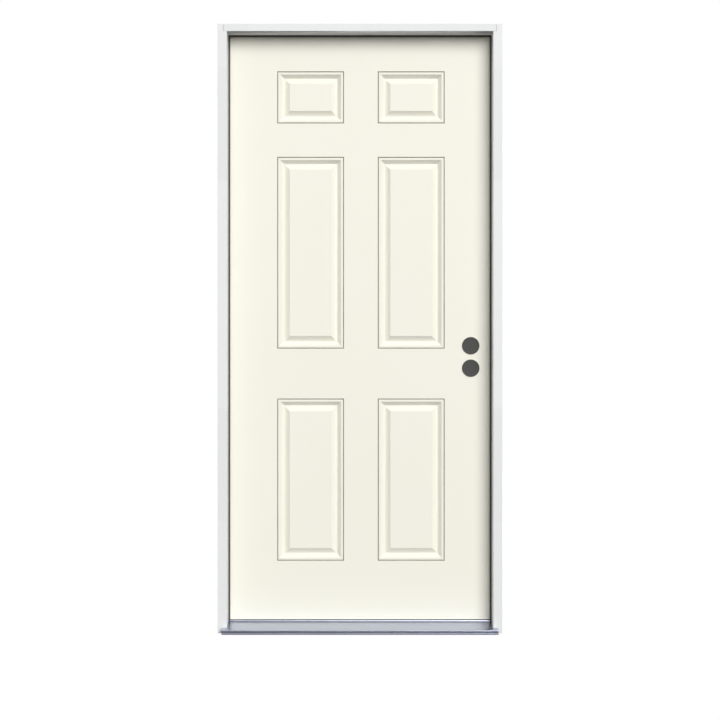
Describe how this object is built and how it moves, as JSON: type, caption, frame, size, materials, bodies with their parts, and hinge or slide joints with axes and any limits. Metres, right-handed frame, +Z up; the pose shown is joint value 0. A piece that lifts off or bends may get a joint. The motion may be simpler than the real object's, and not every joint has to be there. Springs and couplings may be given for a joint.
{
  "type": "panelled front door",
  "caption": "Inswing entrance door with raised panels pressed in its steel skins, hinged in a rabbeted wooden frame with weatherstrips and a metal-faced sill.",
  "frame": {"origin": "on the floor under the sill, at the middle of the frame's width and of the jambs' depth", "axes": "+X to the right as seen from outside, towards the lock side; -Y outside and +Y into the room; +Z up"},
  "size_m": [0.9524, 0.159, 2.04],
  "materials": {
    "primed_wood": "satin white primer",
    "painted_steel": "low-sheen cream paint",
    "mill_aluminium": "mill finish, drawn",
    "bare_pine": "planed, bare",
    "sill_composite": "matte extruded",
    "foam_seal": "matte film over foam",
    "vinyl_sweep": "matte extruded vinyl",
    "felt_pad": "dense pile",
    "insulating_foam": "rigid closed-cell foam",
    "plug_plastic": "moulded, fine texture",
    "hinge_steel": "satin plated",
    "screw_steel": "bright zinc"
  },
  "bodies": {
    "frame": {"hinge_jamb": "primed_wood", "strike_jamb": "primed_wood", "head_jamb": "primed_wood", "sill_substrate": "sill_composite", "sill_cover": "mill_aluminium", "threshold_cap": "sill_composite", "sill_screws": "screw_steel", "head_joint_screws": "screw_steel", "hinge_side_weatherstrip": "foam_seal", "strike_side_weatherstrip": "foam_seal", "head_weatherstrip": "foam_seal", "hinge_corner_pad": "felt_pad", "strike_corner_pad": "felt_pad", "frame_hinge_leaf_bottom": "hinge_steel", "frame_hinge_leaf_middle": "hinge_steel", "frame_hinge_leaf_top": "hinge_steel", "hinge_pin_bottom": "hinge_steel", "hinge_pin_middle": "hinge_steel", "hinge_pin_top": "hinge_steel", "frame_hinge_screws": "screw_steel"},
    "door_leaf": {"hinge_stile": "bare_pine", "lock_stile": "bare_pine", "lock_block": "bare_pine", "top_rail": "bare_pine", "bottom_rail": "bare_pine", "foam_core": "insulating_foam", "exterior_skin": "painted_steel", "interior_skin": "painted_steel", "bottom_sweep": "vinyl_sweep", "upper_bore_plug": "plug_plastic", "lower_bore_plug": "plug_plastic", "door_hinge_leaf_bottom": "hinge_steel", "door_hinge_leaf_middle": "hinge_steel", "door_hinge_leaf_top": "hinge_steel", "door_hinge_screws": "screw_steel"}
  },
  "joints": [
    {"name": "door_swing", "type": "hinge", "parent": "frame", "child": "door_leaf", "pos_m": [-0.4556, 0.0647, 1], "axis": [0, 0, 1], "range_deg": [0, 170]}
  ]
}
